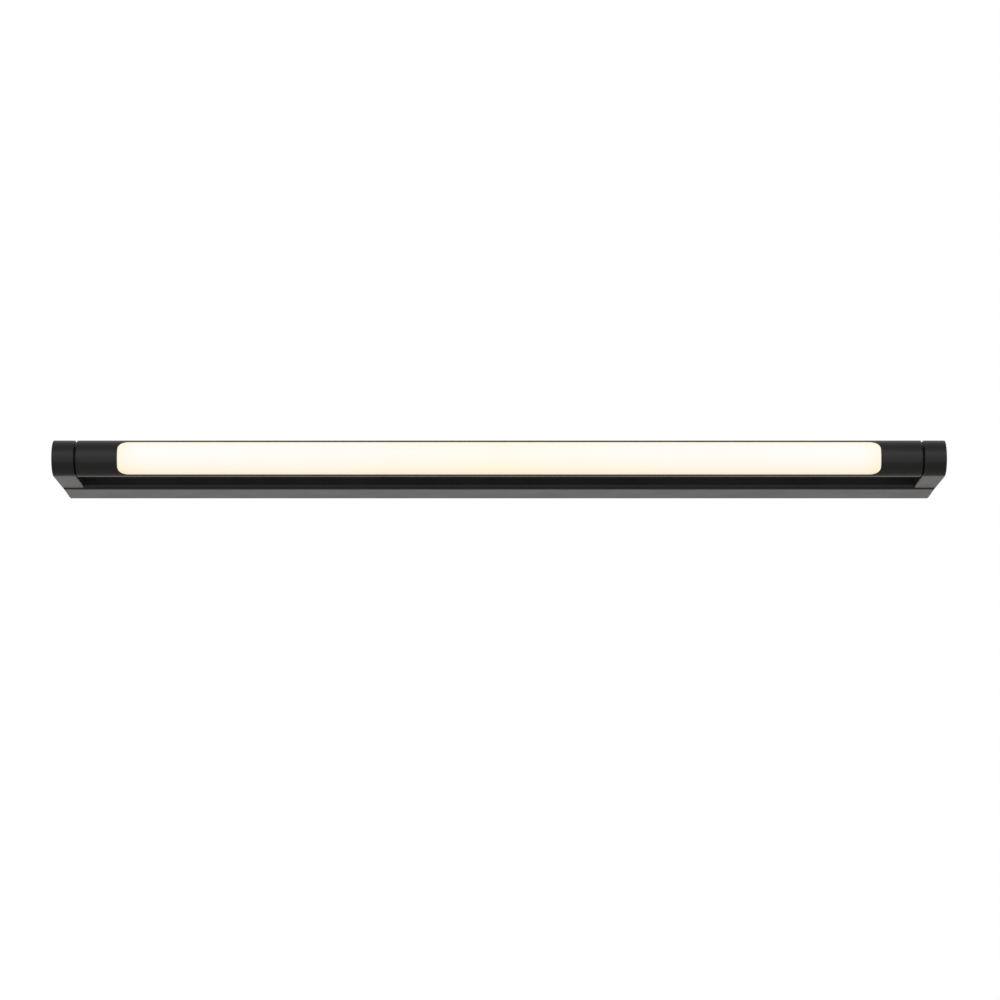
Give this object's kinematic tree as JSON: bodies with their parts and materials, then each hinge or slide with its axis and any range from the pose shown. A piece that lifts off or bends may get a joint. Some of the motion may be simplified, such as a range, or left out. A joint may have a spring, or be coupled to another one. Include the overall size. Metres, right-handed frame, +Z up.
{
  "type": "vanity light bar",
  "caption": "Wall-fixed vanity light bar: a round tube with a long opal window swivels between hollow end arms on a slim full-length rectangular base.",
  "frame": {"origin": "centre of the base's wall side, on the wall plane", "axes": "+X along the bar, +Y into the wall (the lamp faces -Y), +Z up"},
  "size_m": [0.6004, 0.0922, 0.027],
  "materials": {
    "black_coat": "fine satin powder coat",
    "opal": "opal polycarbonate, lit warm white",
    "zinc_steel": "zinc plated",
    "brass": "turned",
    "spring_steel": "rolled",
    "seal_rubber": "matt",
    "bush_nylon": "moulded, black",
    "plug_black": "moulded",
    "bare_aluminium": "extruded",
    "board_white": "solder mask",
    "led_phosphor": "phosphor lens",
    "driver_white": "moulded",
    "board_green": "solder mask",
    "coil_dark": "wrapped",
    "wire_brown": "pvc",
    "wire_blue": "pvc",
    "wire_earth": "pvc",
    "cable_white": "pvc",
    "wire_red": "pvc"
  },
  "bodies": {
    "base": {"base_housing": "black_coat", "arm_left": "black_coat", "arm_right": "black_coat", "arm_cover_left": "black_coat", "arm_cover_right": "black_coat", "wall_bracket": "zinc_steel", "lock_screws": "zinc_steel", "arm_screws": "zinc_steel", "terminal_screws": "zinc_steel", "earth_screw": "zinc_steel", "earth_tag": "zinc_steel", "driver_clips": "zinc_steel", "wall_seal": "seal_rubber", "cable_grommet": "seal_rubber", "arm_grommet": "seal_rubber", "bush_left": "bush_nylon", "bush_right": "bush_nylon", "driver_case": "driver_white", "driver_lid": "driver_white", "terminal_block": "driver_white", "driver_board": "board_green", "driver_transformer": "coil_dark", "driver_capacitors": "coil_dark", "lead_live": "wire_brown", "lead_neutral": "wire_blue", "lead_earth": "wire_earth", "driver_cable": "cable_white"},
    "tube": {"tube_shell": "black_coat", "diffuser": "opal", "led_carrier": "bare_aluminium", "led_board": "board_white", "led_chips": "led_phosphor", "board_screws": "zinc_steel", "board_connector": "board_white", "board_leads": "wire_red", "tube_cable": "cable_white", "tube_screws": "zinc_steel", "stop_washer_left": "brass", "plain_washer_right": "brass", "end_plug_left": "plug_black", "plug_seal_left": "seal_rubber", "axle_left": "zinc_steel", "friction_washer_left": "spring_steel", "axle_nut_left": "brass", "end_plug_right": "plug_black", "plug_seal_right": "seal_rubber", "axle_right": "zinc_steel", "friction_washer_right": "spring_steel", "axle_nut_right": "brass"}
  },
  "joints": [
    {"name": "tube_swivel", "type": "hinge", "parent": "base", "child": "tube", "pos_m": [0, -0.08, 0], "axis": [1, 0, 0], "range_deg": [-90, 90]}
  ]
}
